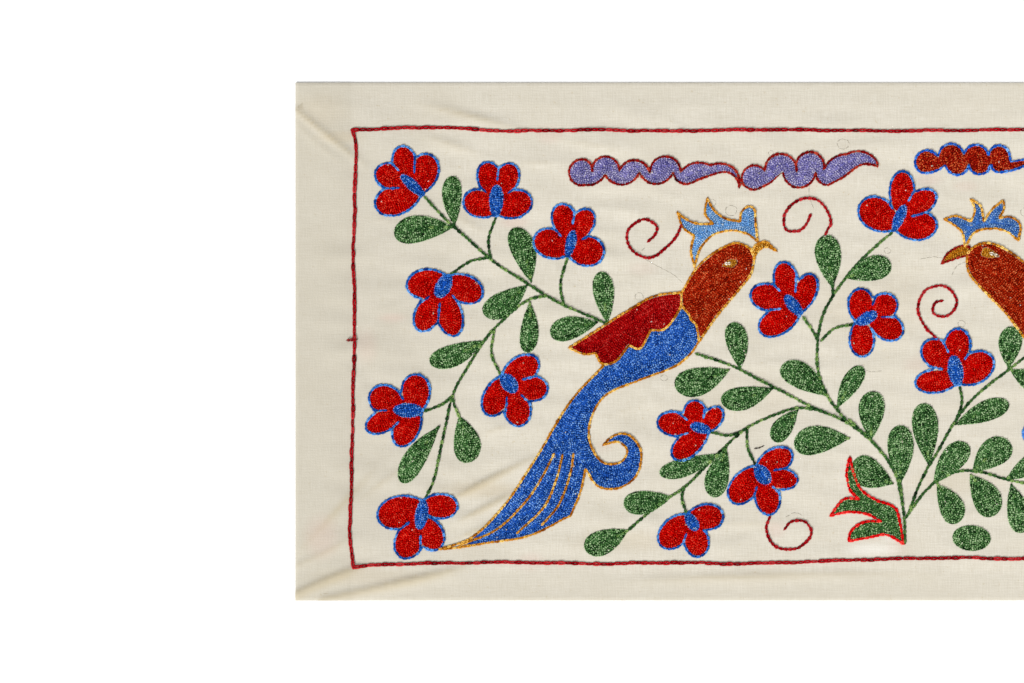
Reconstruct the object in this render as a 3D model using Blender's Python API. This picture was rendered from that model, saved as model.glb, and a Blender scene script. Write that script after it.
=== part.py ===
"""Hand-embroidered suzani panel: one hemmed cotton cloth lying flat, with its creases.

X runs along the length, Y across the width, Z up. The origin is on the surface that
the cloth lies on, under the middle of the panel.
"""
import bmesh
import bpy
from mathutils import Vector
from mathutils.geometry import intersect_point_line

# Driving dimensions, in metres.
CLOTH_LENGTH = 1.000
CLOTH_WIDTH = 0.440
CLOTH_THICKNESS = 0.0012    # cotton ground with the thread that lies flat on both faces
END_HEM = 0.045             # width of cotton turned under along each short end
SIDE_HEM = 0.019            # width of cotton turned under along each long side
HEM_RISE = 0.0004           # how much the turned cotton lifts the upper face
HEM_SLOPE = 0.008           # length over which the upper face drops off the hem

CELLS_LONG = 100            # facets along the length
CELLS_WIDE = 44             # facets across the width
FOLD_STEPS = 8              # straight runs that a curved fold is measured against
FLAT_BELOW = 0.00002        # a lift smaller than this is pressed flat

# The main folds, in millimetres on the cloth. Each is a soft ridge along a curve through
# its start, middle and end. It is as wide as given on its upper and its lower side, and it
# is full height at the middle. start_height and end_height are shares of that height.
FOLD_COLUMNS = ("name", "start", "middle", "end", "width_above", "width_below",
                "height", "start_height", "end_height")
FOLDS = [
    ("top_left_corner", (-500, 196), (-468, 172), (-425, 128), 12, 17, 2.6, 1.0, 0.0),
    ("upper_margin", (-420, 204), (-305, 180), (-185, 152), 14, 18, 1.8, 0.0, 0.0),
    ("bottom_left_corner", (-500, -211), (-462, -194), (-405, -172), 12, 20, 2.6, 1.0, 0.0),
    ("below_left_flower", (-470, -216), (-385, -190), (-285, -176), 12, 18, 2.2, 0.3, 0.0),
    ("pull_from_tail", (-398, -150), (-345, -121), (-285, -92), 10, 20, 2.2, 0.0, 0.2),
    ("left_hollow", (-490, -170), (-455, -135), (-415, -92), 16, 20, 1.6, 0.3, 0.0),
    ("lower_margin", (-260, -208), (-110, -197), (120, -196), 14, 18, 1.5, 0.0, 0.0),
    ("top_right_corner", (500, 188), (468, 168), (430, 135), 13, 17, 2.0, 1.0, 0.0),
    ("right_margin", (490, -150), (455, -122), (400, -100), 14, 18, 1.8, 0.4, 0.0),
]

COTTON_COLOUR = (0.72, 0.67, 0.57, 1.0)
COTTON_ROUGHNESS = 0.9
MM = 0.001


def clear_scene():
    """Remove whatever the scene holds."""
    for item in list(bpy.data.objects):
        bpy.data.objects.remove(item, do_unlink=True)


def smooth(value):
    """Ease a value from 0 to 1 with level ends."""
    value = min(max(value, 0.0), 1.0)
    return value * value * (3.0 - 2.0 * value)


def fold_curve(fold):
    """Points along the curve through a fold's start, middle and end."""
    start, middle, end = (Vector(fold[key]) * MM for key in ("start", "middle", "end"))
    handle = middle * 2.0 - (start + end) * 0.5
    points = []
    for step in range(FOLD_STEPS + 1):
        t = step / FOLD_STEPS
        points.append(start * (1 - t) ** 2 + handle * 2 * t * (1 - t) + end * t * t)
    return points


def fold_height_along(fold, t):
    """Height of a fold's crest at t, from 0 at its start to 1 at its end."""
    share = fold["start_height"] if t < 0.5 else fold["end_height"]
    towards_middle = smooth(1.0 - abs(2.0 * t - 1.0))
    return fold["height"] * MM * (share + (1.0 - share) * towards_middle)


def fold_lift(fold, curve, point):
    """How far one fold lifts the cloth at a point."""
    nearest = None
    for step in range(FOLD_STEPS):
        first, last = curve[step], curve[step + 1]
        foot, share = intersect_point_line(point.to_3d(), first.to_3d(), last.to_3d())
        share = min(max(share, 0.0), 1.0)
        foot = first.lerp(last, share)
        gap = (point - foot).length
        if nearest is None or gap < nearest[0]:
            above = (last - first).normalized().orthogonal().dot(point - foot) > 0.0
            nearest = (gap, (step + share) / FOLD_STEPS, above)
    gap, t, above = nearest
    width = (fold["width_above"] if above else fold["width_below"]) * MM
    return fold_height_along(fold, t) * smooth(1.0 - gap / width)


def hem_rise(point):
    """Extra height of the upper face where cotton is turned under."""
    from_end = CLOTH_LENGTH / 2 - abs(point.x)
    from_side = CLOTH_WIDTH / 2 - abs(point.y)
    end_part = smooth((END_HEM + HEM_SLOPE - from_end) / HEM_SLOPE)
    side_part = smooth((SIDE_HEM + HEM_SLOPE - from_side) / HEM_SLOPE)
    return HEM_RISE * (end_part + side_part)


def cotton_material():
    """Unbleached plain-weave cotton."""
    material = bpy.data.materials.new("cream_cotton")
    material.use_nodes = True
    shader = material.node_tree.nodes["Principled BSDF"]
    shader.inputs["Base Color"].default_value = COTTON_COLOUR
    shader.inputs["Roughness"].default_value = COTTON_ROUGHNESS
    shader.inputs["Metallic"].default_value = 0.0
    return material


def cloth_lift(folds, curves, point):
    """How far the folds lift the cloth at a point, pressed flat between them."""
    lift = max(fold_lift(fold, curve, point) for fold, curve in zip(folds, curves))
    return lift if lift > FLAT_BELOW else 0.0


def make_cloth(collection):
    """The cloth: a level sheet of facets, laid over the folds and raised at the hems."""
    shape = bmesh.new()
    bmesh.ops.create_grid(shape, x_segments=CELLS_LONG, y_segments=CELLS_WIDE, size=0.5)
    bmesh.ops.scale(shape, vec=(CLOTH_LENGTH, CLOTH_WIDTH, 1.0), verts=shape.verts)
    underside = list(shape.verts)
    raised = bmesh.ops.extrude_face_region(shape, geom=shape.faces[:], use_keep_orig=True)
    upper_side = [item for item in raised["geom"] if isinstance(item, bmesh.types.BMVert)]

    folds = [dict(zip(FOLD_COLUMNS, row)) for row in FOLDS]
    curves = [fold_curve(fold) for fold in folds]
    for vert in underside:
        vert.co.z = cloth_lift(folds, curves, vert.co.to_2d())
    for vert in upper_side:
        lift = cloth_lift(folds, curves, vert.co.to_2d())
        vert.co.z = lift + CLOTH_THICKNESS + hem_rise(vert.co)
    bmesh.ops.recalc_face_normals(shape, faces=shape.faces[:])

    mesh = bpy.data.meshes.new("suzani_cloth")
    shape.to_mesh(mesh)
    shape.free()
    mesh.materials.append(cotton_material())
    collection.objects.link(bpy.data.objects.new("suzani_cloth", mesh))


def main():
    """Clear the scene and make the panel in its own collection."""
    clear_scene()
    collection = bpy.data.collections.new("suzani_panel")
    bpy.context.scene.collection.children.link(collection)
    make_cloth(collection)


main()
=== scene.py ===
import math

import bpy
import numpy as np
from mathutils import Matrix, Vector, noise
from mathutils.geometry import delaunay_2d_cdt


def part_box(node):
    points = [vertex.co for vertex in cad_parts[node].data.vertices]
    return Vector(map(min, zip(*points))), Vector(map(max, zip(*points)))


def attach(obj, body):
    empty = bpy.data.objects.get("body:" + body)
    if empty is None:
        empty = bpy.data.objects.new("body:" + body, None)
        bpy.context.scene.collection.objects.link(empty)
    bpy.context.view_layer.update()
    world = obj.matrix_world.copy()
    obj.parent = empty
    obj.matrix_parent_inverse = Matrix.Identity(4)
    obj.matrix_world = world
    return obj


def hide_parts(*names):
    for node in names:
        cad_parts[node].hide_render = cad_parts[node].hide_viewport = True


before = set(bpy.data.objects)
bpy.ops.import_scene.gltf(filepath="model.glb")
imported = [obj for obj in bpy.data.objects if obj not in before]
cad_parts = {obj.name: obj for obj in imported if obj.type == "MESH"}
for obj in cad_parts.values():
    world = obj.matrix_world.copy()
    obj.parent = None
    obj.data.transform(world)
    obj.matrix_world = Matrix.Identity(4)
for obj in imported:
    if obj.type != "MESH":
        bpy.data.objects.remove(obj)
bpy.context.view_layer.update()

# ---------------------------------------------------------------------------
# The ground cloth
# One length of unbleached hand-loomed cotton with its edges turned under. It lies on the
# surface, and is held a hair off it by the thread that runs along its back.
# ---------------------------------------------------------------------------
MM = 0.001
cloth_low, cloth_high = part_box("suzani_cloth")
HALF_LENGTH = (cloth_high[0] - cloth_low[0]) / 2 / MM
HALF_WIDTH = (cloth_high[1] - cloth_low[1]) / 2 / MM
COTTON_THICK = 0.4
BACK_THREAD = 0.4
END_HEM, SIDE_HEM = 45, 19
HEM_RISE = 0.15
HEM_DROP = 0.05
HEM_SLOPE = 4
EDGE_ROUND = 0.35
CELLS_LONG, CELLS_WIDE, BACK_CELL = 352, 156, 4
LEVEL_RIM = 44
FLOOR_GAP = 0.1

# Creases pressed into the cloth, millimetres. Each is a soft ridge on a curve through its
# start, middle and end, so wide on its upper and lower side, and so high at the middle.
# The last two columns are the shares of that height at its start and end.
CREASES = [
    # start, middle, end, width above, width below, height, share at start, share at end
    ((-500, 198), (-467, 171), (-425, 138), 3.5, 7, 1.5, 1.0, 0.0),
    ((-500, 188), (-478, 166), (-450, 148), 3, 6, 0.6, 1.0, 0.0),
    ((-428, 162), (-412, 146), (-398, 128), 3, 6, 0.6, 0.0, 0.0),
    ((-408, 205), (-350, 192), (-280, 172), 6, 14, 1.3, 0.0, 0.0),
    ((-405, 180), (-368, 168), (-318, 152), 5, 11, 0.9, 0.0, 0.0),
    ((-330, 160), (-290, 152), (-255, 158), 4, 8, 0.6, 0.0, 0.0),
    ((-300, 178), (-250, 168), (-205, 163), 5, 9, 0.7, 0.0, 0.0),
    ((-500, -214), (-466, -199), (-425, -184), 5, 13, 2.6, 1.0, 0.0),
    ((-478, -219), (-405, -203), (-330, -185), 5, 12, 2.6, 0.6, 0.0),
    ((-500, -190), (-470, -176), (-440, -158), 4, 10, 1.0, 0.8, 0.0),
    ((-376, -139), (-340, -119), (-300, -99), 3.5, 9, 3.2, 0.2, 0.3),
    ((-368, -155), (-340, -141), (-308, -124), 3.5, 8, 2.6, 0.1, 0.1),
    ((-372, -168), (-345, -160), (-318, -146), 3, 7, 1.8, 0.0, 0.0),
    ((-232, -62), (-220, -58), (-206, -52), 3, 7, 0.6, 0.0, 0.0),
    ((-352, -84), (-330, -74), (-304, -70), 3, 8, 0.9, 0.0, 0.0),
    ((-430, -120), (-405, -104), (-385, -84), 3, 8, 1.4, 0.0, 0.0),
    ((-495, -176), (-460, -138), (-418, -92), 9, 14, 1.3, 0.4, 0.0),
    ((-470, -160), (-425, -118), (-385, -100), 5, 10, 0.8, 0.0, 0.0),
    ((-445, 108), (-425, 104), (-405, 99), 3, 7, 0.6, 0.0, 0.0),
    ((-380, 122), (-352, 100), (-325, 92), 4, 9, 0.7, 0.0, 0.0),
    ((-345, 96), (-315, 84), (-285, 82), 3, 7, 0.5, 0.0, 0.0),
    ((-335, -20), (-310, -28), (-280, -25), 4, 8, 0.6, 0.0, 0.0),
    ((-258, 62), (-225, 56), (-190, 60), 3, 7, 0.5, 0.0, 0.0),
    ((-270, 100), (-240, 94), (-215, 97), 3, 7, 0.5, 0.0, 0.0),
    ((-260, -208), (-110, -199), (120, -198), 6, 13, 1.2, 0.0, 0.0),
    ((-190, -160), (-120, -154), (-60, -158), 4, 9, 0.6, 0.0, 0.0),
    ((-160, 120), (-120, 124), (-85, 118), 3, 7, 0.4, 0.0, 0.0),
    ((-60, -98), (-20, -94), (20, -97), 4, 8, 0.5, 0.0, 0.0),
    ((20, -60), (70, -54), (125, -58), 4, 8, 0.5, 0.0, 0.0),
    ((40, -150), (80, -145), (118, -148), 4, 8, 0.5, 0.0, 0.0),
    ((-10, 60), (25, 63), (60, 58), 4, 8, 0.4, 0.0, 0.0),
    ((-85, 170), (-30, 168), (20, 171), 3, 8, 0.5, 0.0, 0.0),
    ((500, 188), (468, 168), (430, 135), 5, 12, 1.7, 1.0, 0.0),
    ((490, -150), (455, -122), (400, -100), 8, 14, 1.3, 0.4, 0.0),
    ((300, -120), (345, -130), (395, -122), 5, 10, 0.9, 0.0, 0.0),
]
CURVE_STEPS = 12
# Painted shade: the cotton's colour is darkened along each crease, fully where it stands this high.
CREASE_SHADE_FULL = 1.6
# The thread draws the cotton up in low puckers, longer along the cloth than across it.
PUCKER_LONG, PUCKER_WIDE, PUCKER_HIGH, PUCKER_LEAST = 46, 16, 2.0, 0.28
WAVE_LONG, WAVE_WIDE, WAVE_HIGH = 190, 90, 0.5
# In places it has small sharp wrinkles as well.
WRINKLE_LONG, WRINKLE_WIDE, WRINKLE_HIGH, WRINKLE_SHARP = 40, 18, 0.42, 0.13


def srgb(code):
    """An sRGB hex colour as linear RGBA."""
    parts = [int(code[i:i + 2], 16) / 255 for i in (1, 3, 5)]
    linear = [c / 12.92 if c <= 0.04045 else ((c + 0.055) / 1.055) ** 2.4 for c in parts]
    return (*linear, 1.0)


def add_node(tree, kind, links=(), **settings):
    """Add one node. links are (input, socket that feeds it); a setting is an input or a property."""
    node = tree.nodes.new(kind)
    for name, value in settings.items():
        if hasattr(node, name):
            setattr(node, name, value)
        else:
            node.inputs[name.replace("_", " ")].default_value = value
    for name, source in links:
        tree.links.new(source, node.inputs[name])
    return node


def ease(share):
    """Ease from 0 to 1 with level ends."""
    share = np.clip(share, 0.0, 1.0)
    return share * share * (3.0 - 2.0 * share)


def through_three(start, middle, end, steps):
    """Points on the curve through a start, a middle and an end."""
    start, middle, end = np.array([start, middle, end], float)
    t = np.linspace(0, 1, steps + 1)[:, None]
    handle = 2 * middle - (start + end) / 2
    return start * (1 - t) ** 2 + handle * 2 * t * (1 - t) + end * t ** 2


def crease_lift(x, y, start, middle, end, above, below, height, at_start, at_end):
    """How far one crease lifts the cloth at each point."""
    curve = through_three(start, middle, end, CURVE_STEPS)
    nearest = np.full(x.shape, 1e9)
    lift = np.zeros(x.shape)
    for step in range(CURVE_STEPS):
        (x0, y0), (dx, dy) = curve[step], curve[step + 1] - curve[step]
        share = np.clip(((x - x0) * dx + (y - y0) * dy) / (dx * dx + dy * dy), 0, 1)
        gap = np.hypot(x - x0 - share * dx, y - y0 - share * dy)
        upper = (dx * (y - y0) - dy * (x - x0)) * (1 if end[0] > start[0] else -1) > 0
        along = (step + share) / CURVE_STEPS
        least = np.where(along < 0.5, at_start, at_end)
        crest = height * (least + (1 - least) * ease(1 - np.abs(2 * along - 1)))
        near = np.clip(1 - gap / np.where(upper, above, below), 0, 1)
        here = crest * near ** 2.0
        closer = gap < nearest
        lift = np.where(closer, here, lift)
        nearest = np.minimum(gap, nearest)
    return lift


def hem_share(x, y):
    """How far the cotton lies over the hem at its ends and at its sides, each from 0 to 1."""
    over_end = ease((END_HEM + HEM_SLOPE - (HALF_LENGTH - np.abs(x))) / HEM_SLOPE)
    over_side = ease((SIDE_HEM + HEM_SLOPE - (HALF_WIDTH - np.abs(y))) / HEM_SLOPE)
    return over_end, over_side


def unevenness(x, y, long, wide, seed):
    """Smooth noise from 0 to 1, stretched along the cloth."""
    values = [noise.noise(Vector((a / long, b / wide, seed))) for a, b in zip(x.flat, y.flat)]
    return 0.5 + 0.5 * np.array(values).reshape(x.shape)


grid_x, grid_y = np.meshgrid(
    np.linspace(-HALF_LENGTH, HALF_LENGTH, CELLS_LONG + 1),
    np.linspace(-HALF_WIDTH, HALF_WIDTH, CELLS_WIDE + 1),
)
creases = np.max([crease_lift(grid_x, grid_y, *row) for row in CREASES], axis=0)
puckers = unevenness(grid_x, grid_y, PUCKER_LONG, PUCKER_WIDE, 3.1)
puckers = PUCKER_HIGH * np.maximum(puckers - PUCKER_LEAST, 0)
waves = WAVE_HIGH * unevenness(grid_x, grid_y, WAVE_LONG, WAVE_WIDE, 8.4)
from_rim = np.minimum(HALF_LENGTH - np.abs(grid_x), HALF_WIDTH - np.abs(grid_y))
wrinkled = ease(3.2 * unevenness(grid_x, grid_y, 95, 60, 12.3) - 1.2)
fold_line = (unevenness(grid_x, grid_y, WRINKLE_LONG, WRINKLE_WIDE, 5.7) - 0.5) / WRINKLE_SHARP
wrinkles = WRINKLE_HIGH * wrinkled * np.exp(-fold_line ** 2)
lifted = ease(from_rim / LEVEL_RIM)
top = FLOOR_GAP + COTTON_THICK + creases + lifted * (BACK_THREAD + puckers + waves + wrinkles)
top += HEM_RISE * sum(hem_share(grid_x, grid_y))


def lie(x, y):
    """Height of the cotton's face at each point, all in millimetres."""
    across = np.clip((x / HALF_LENGTH + 1) / 2 * CELLS_LONG, 0, CELLS_LONG)
    up = np.clip((y / HALF_WIDTH + 1) / 2 * CELLS_WIDE, 0, CELLS_WIDE)
    i = np.minimum(across.astype(int), CELLS_LONG - 1)
    j = np.minimum(up.astype(int), CELLS_WIDE - 1)
    u, v = across - i, up - j
    low = top[j, i] * (1 - u) + top[j, i + 1] * u
    high = top[j + 1, i] * (1 - u) + top[j + 1, i + 1] * u
    return low * (1 - v) + high * v


def set_attribute(mesh, name, values):
    """Store one number for each vertex."""
    mesh.attributes.new(name, "FLOAT", "POINT").data.foreach_set("value", values.astype(np.float32))


def lay_out_flat(mesh):
    """Map the piece from above, so that each stitch has its own place on the map."""
    places = np.empty(len(mesh.vertices) * 3, np.float32)
    mesh.vertices.foreach_get("co", places)
    places = places.reshape(-1, 3)[:, :2]
    low = places.min(0)
    size = np.maximum(places.max(0) - low, 1e-6)
    corners = np.empty(len(mesh.loops), np.int32)
    mesh.loops.foreach_get("vertex_index", corners)
    flat = ((places - low) / size)[corners]
    mesh.uv_layers.new(name="OFBake").uv.foreach_set("vector", flat.ravel())


# Where dye has bled out of the red thread, and where the cotton has turned yellow; the narrow
# marks of the second table that lie along creases are painted crease shade as well. Each mark
# is its centre, its half-length and half-width, and how strong it is.
DYE_BLEEDS = [
    (-314, 101, 14, 5, 0.7), (-418, 20, 13, 4, 0.6), (-322, -22, 9, 5, 0.6),
    (-287, 77, 10, 5, 0.6), (-284, 176, 12, 8, 0.6), (-300, -187, 12, 8, 0.5),
    (-478, -166, 16, 20, 0.5), (-50, 151, 10, 7, 0.5), (-62, 136, 8, 10, 0.4),
    (38, 138, 12, 7, 0.5), (-92, -160, 9, 8, 0.6), (-238, -88, 9, 7, 0.3),
    (30, -20, 14, 8, 0.4), (-158, 48, 12, 9, 0.3), (-440, -4, 10, 16, 0.4),
    (70, 132, 12, 5, 0.4), (-205, 62, 14, 6, 0.3), (12, -176, 10, 10, 0.3),
    (300, 60, 16, 9, 0.5), (420, 40, 12, 8, 0.5), (250, -60, 14, 8, 0.4),
]
YELLOWING_AND_CREASE_SHADE = [
    (-478, 196, 26, 18, 0.5), (-462, 174, 22, 6, 0.9), (-120, -50, 60, 25, 0.3),
    (-344, -126, 36, 8, 0.8), (-440, -200, 50, 8, 0.6), (-350, 110, 22, 10, 0.4),
    (-10, 30, 60, 40, 0.3), (-215, -170, 60, 10, 0.5), (60, -120, 45, 12, 0.4),
    (420, 150, 50, 26, 0.5), (330, -180, 70, 16, 0.5), (240, 20, 50, 30, 0.3),
]
# Painted shade that darkens the left end, the lower left and the bottom edge, and where starch has
# dried white on the cotton.
PAINTED_FALLOFF = [(-445, -20, 95, 300, 0.75), (-380, -200, 60, 60, 0.4), (-150, -216, 420, 22, 0.5)]
STARCHED = [(-10, -177, 26, 6, 0.9), (6, -168, 8, 5, 0.5), (300, -176, 20, 5, 0.6)]


def marks(x, y, table):
    """Strength of the soft marks in a table at each point."""
    strength = np.zeros(x.shape)
    for cx, cy, long, wide, most in table:
        reach = np.hypot((x - cx) / long, (y - cy) / wide)
        strength = np.maximum(strength, most * ease(1.3 - reach))
    return strength


def hand_loomed_cotton():
    """Plain-woven, unbleached, washed soft: matt, cream, with slubs and faint bars."""
    material = bpy.data.materials.new("hand_loomed_cotton")
    material.use_nodes = True
    tree = material.node_tree
    shader = tree.nodes["Principled BSDF"]
    place = add_node(tree, "ShaderNodeTexCoord").outputs["Object"]

    # The real threads are 0.5 mm apart. They are drawn 2.3 mm apart, so that they show.
    threads_apart = 2.3 * MM
    bands = []
    for axis in ("X", "Y"):
        bands.append(add_node(tree, "ShaderNodeTexWave", [("Vector", place)],
                              bands_direction=axis, Scale=math.tau / 20 / threads_apart,
                              Distortion=6.0, Detail=2.0, Detail_Scale=1.6).outputs["Fac"])
    weave = add_node(tree, "ShaderNodeMath", operation="MULTIPLY")
    for index, band in enumerate(bands):
        tree.links.new(band, weave.inputs[index])

    # Slubs are 8 to 20 mm of thicker yarn, along and across the cloth.
    slubs = []
    for stretch in ((70, 900, 1), (900, 70, 1)):
        mapped = add_node(tree, "ShaderNodeMapping", [("Vector", place)], Scale=stretch)
        slubs.append(add_node(tree, "ShaderNodeTexNoise", [("Vector", mapped.outputs[0])],
                              Scale=1.0, Detail=2.0, Roughness=0.6).outputs["Fac"])
    slub = add_node(tree, "ShaderNodeMath", operation="ADD")
    tree.links.new(slubs[0], slub.inputs[0])
    tree.links.new(slubs[1], slub.inputs[1])
    cloudy = add_node(tree, "ShaderNodeTexNoise", [("Vector", place)], Scale=22.0, Detail=4.0)
    flecks = add_node(tree, "ShaderNodeTexNoise", [("Vector", place)], Scale=420.0, Detail=1.0)

    shade = add_node(tree, "ShaderNodeMapRange", [("Value", slub.outputs[0])],
                     From_Min=0.7, From_Max=1.3, To_Min=0.0, To_Max=1.0)
    colour = add_node(tree, "ShaderNodeMix", [("Factor", shade.outputs[0])], data_type="RGBA")
    colour.inputs["A"].default_value = srgb("#c6bfaf")
    colour.inputs["B"].default_value = srgb("#d4cec0")

    def tint(below, factor, code):
        layer = add_node(tree, "ShaderNodeMix", [("Factor", factor)], data_type="RGBA")
        tree.links.new(below, layer.inputs["A"])
        layer.inputs["B"].default_value = srgb(code)
        return layer.outputs["Result"]

    def part(value, low, high, most):
        return add_node(tree, "ShaderNodeMapRange", [("Value", value)], From_Min=low,
                        From_Max=high, To_Min=0.0, To_Max=most).outputs[0]

    def stored(name):
        return add_node(tree, "ShaderNodeAttribute", attribute_name=name).outputs["Fac"]

    result = tint(colour.outputs["Result"], part(cloudy.outputs["Fac"], 0.4, 0.75, 0.35), "#c2baa7")
    result = tint(result, part(weave.outputs[0], 0.0, 1.0, 0.055), "#e4decf")
    result = tint(result, part(flecks.outputs["Fac"], 0.70, 0.78, 0.5), "#b8a98a")
    result = tint(result, part(stored("hem"), 0.0, 2.1, 0.24), "#a9a38f")
    # Yellowing, with painted crease shade where its marks lie along creases.
    result = tint(result, part(stored("yellowing_and_crease_shade"), 0.0, 1.0, 0.35), "#bfab86")
    # Painted shade towards the left end, the lower left and the bottom edge.
    result = tint(result, part(stored("painted_falloff"), 0.0, 1.0, 0.5), "#b9b2a2")
    # Painted shade along the creases.
    result = tint(result, part(stored("crease_shade"), 0.0, 1.0, 0.46), "#b0a07c")
    result = tint(result, part(stored("starched"), 0.0, 1.0, 0.5), "#e9e6df")
    result = tint(result, part(stored("dye"), 0.0, 1.0, 0.32), "#cd9c92")
    tree.links.new(result, shader.inputs["Base Color"])

    lumps = add_node(tree, "ShaderNodeMath", operation="ADD")
    tree.links.new(weave.outputs[0], lumps.inputs[0])
    tree.links.new(slub.outputs[0], lumps.inputs[1])
    bump = add_node(tree, "ShaderNodeBump", [("Height", lumps.outputs[0])],
                    Strength=0.17, Distance=0.0003)
    tree.links.new(bump.outputs["Normal"], shader.inputs["Normal"])
    shader.inputs["Roughness"].default_value = 0.92
    shader.inputs["Specular IOR Level"].default_value = 0.2
    shader.inputs["Sheen Weight"].default_value = 0.12
    shader.inputs["Sheen Roughness"].default_value = 0.6
    return material


def make_ground():
    """The cotton's two faces, joined round the rim by the rounded edge of its turned hem."""
    x, y = grid_x.ravel(), grid_y.ravel()
    at_end, at_side = hem_share(x, y)
    face = np.stack([x, y, top.ravel()], 1)
    # The back has larger squares, so its corners take the lowest height near them.
    lowest = np.pad(top, BACK_CELL, mode="edge")
    for axis in (0, 1):
        lowest = np.min([np.roll(lowest, step, axis)
                         for step in range(-BACK_CELL, BACK_CELL + 1)], 0)
    lowest = lowest[BACK_CELL:-BACK_CELL, BACK_CELL:-BACK_CELL]
    index = np.arange(len(x)).reshape(grid_x.shape)
    rim = np.concatenate([index[0, :-1], index[:-1, -1], index[-1, :0:-1], index[:0:-1, 0]])
    back = np.stack([x, y, lowest.ravel()], 1)
    back[rim, 2] = face[rim, 2]
    back[:, 2] -= COTTON_THICK + HEM_DROP * np.maximum(at_end, at_side)
    edge = (face[rim] + back[rim]) / 2
    edge[:, 0] += EDGE_ROUND * np.sign(x[rim]) * (np.abs(x[rim]) > HALF_LENGTH - 1)
    edge[:, 1] += EDGE_ROUND * np.sign(y[rim]) * (np.abs(y[rim]) > HALF_WIDTH - 1)
    many, turn = len(x), np.roll(np.arange(len(rim)), -1)
    middle = 2 * many + np.arange(len(rim))
    squares = np.stack([index[:-1, :-1], index[:-1, 1:], index[1:, 1:], index[1:, :-1]], 2)
    front_faces = squares.reshape(-1, 4).tolist()
    rim_faces = np.stack([rim, middle, middle[turn], rim[turn]], 1).tolist()
    rim_faces += np.stack([middle, rim + many, rim[turn] + many, middle[turn]], 1).tolist()
    back_faces = []
    for j in range(0, CELLS_WIDE, BACK_CELL):
        for i in range(0, CELLS_LONG, BACK_CELL):
            block = index[j:j + BACK_CELL + 1, i:i + BACK_CELL + 1] + many
            sides = [
                (block[0], j == 0),
                (block[:, -1], i + BACK_CELL == CELLS_LONG),
                (block[-1, ::-1], j + BACK_CELL == CELLS_WIDE),
                (block[::-1, 0], i == 0),
            ]
            ring = np.concatenate([side[:-1] if on_rim else side[:1] for side, on_rim in sides])
            back_faces.append(ring[::-1].tolist())
    faces = front_faces + rim_faces + back_faces
    used = np.zeros(2 * many + len(rim), bool)
    used[np.concatenate([np.array(face) for face in faces])] = True
    new = np.cumsum(used) - 1
    faces = [[int(new[corner]) for corner in face] for face in faces]
    places = np.vstack([face, back, edge])[used]
    mesh = bpy.data.meshes.new("cotton_ground")
    mesh.from_pydata((places * MM).tolist(), [], faces)
    for name, values in (
        ("hem", 1.5 * at_end + 0.35 * at_side),
        ("dye", marks(x, y, DYE_BLEEDS)),
        # yellowing, partly painted crease shade
        ("yellowing_and_crease_shade", marks(x, y, YELLOWING_AND_CREASE_SHADE)),
        ("starched", marks(x, y, STARCHED)),
        # painted shade towards the left end and the bottom
        ("painted_falloff", marks(x, y, PAINTED_FALLOFF)),
        # painted shade along the creases
        ("crease_shade", ease(creases.ravel() / CREASE_SHADE_FULL)),
    ):
        set_attribute(mesh, name, np.concatenate([values, values, values[rim]])[used])
    # The face and the rim take the upper half of the map, and the back takes the lower half.
    spread = np.stack([x / HALF_LENGTH, y / HALF_WIDTH], 1) * [0.48, 0.24]
    on_map = np.vstack([spread, 1.02 * spread, 1.01 * spread[rim]])[used] + [0.5, 0.75]
    corners = np.concatenate([np.array(face) for face in faces])
    flat = on_map[corners]
    backs = sum(len(face) for face in back_faces)
    flat[-backs:] = (on_map[corners[-backs:]] - [0.5, 0.75]) / 1.02 + [0.5, 0.25]
    mesh.uv_layers.new(name="OFBake").uv.foreach_set("vector", flat.astype(np.float32).ravel())
    mesh.shade_smooth()
    mesh.materials.append(hand_loomed_cotton())
    ground = bpy.data.objects.new("cotton_ground", mesh)
    bpy.context.collection.objects.link(ground)
    return ground


cotton = make_ground()
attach(cotton, "root")
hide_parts("suzani_cloth")

# ---------------------------------------------------------------------------
# The border line
# One row of crimson chain stitch, worked by hand round the panel a hem's width in from
# its edge. Each loop of thread rises through the cotton inside the one before it.
# ---------------------------------------------------------------------------
hand = np.random.default_rng(1907)

# A loop as it lies, from where it rises (0) to where the next loop holds it (1): how far
# along, how far to the side in half-widths, and how high in shares of the relief.
OPEN_LOOP = [
    (-0.12, -0.08, 0.75), (0.12, -0.44, 0.62), (0.40, -0.62, 0.54), (0.74, -0.60, 0.48),
    (1.02, -0.32, 0.42), (1.10, 0.0, 0.36), (1.02, 0.32, 0.42), (0.74, 0.60, 0.48),
    (0.40, 0.62, 0.54), (0.12, 0.44, 0.62), (-0.12, 0.08, 0.75),
]
LINE_LOOP = [
    (-0.14, -0.08, 0.82), (0.24, -0.36, 0.62), (0.70, -0.64, 0.46), (1.08, 0.0, 0.22),
    (0.70, 0.64, 0.46), (0.24, 0.36, 0.62), (-0.14, 0.08, 0.82),
]
# In a filled area the loops are pulled closed, so only their two sides show.
CLOSED_SIDES = [
    [(-0.30, -0.14, 0.66), (0.45, -0.56, 0.56), (1.28, -0.22, 0.14)],
    [(-0.30, 0.14, 0.66), (0.45, 0.56, 0.56), (1.28, 0.22, 0.14)],
]
# On the back only a short straight stitch shows for each loop.
BACK_STITCH = [(0.05, 0.0, 0.0), (0.5, 0.0, 0.0), (0.95, 0.0, 0.0)]


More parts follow.
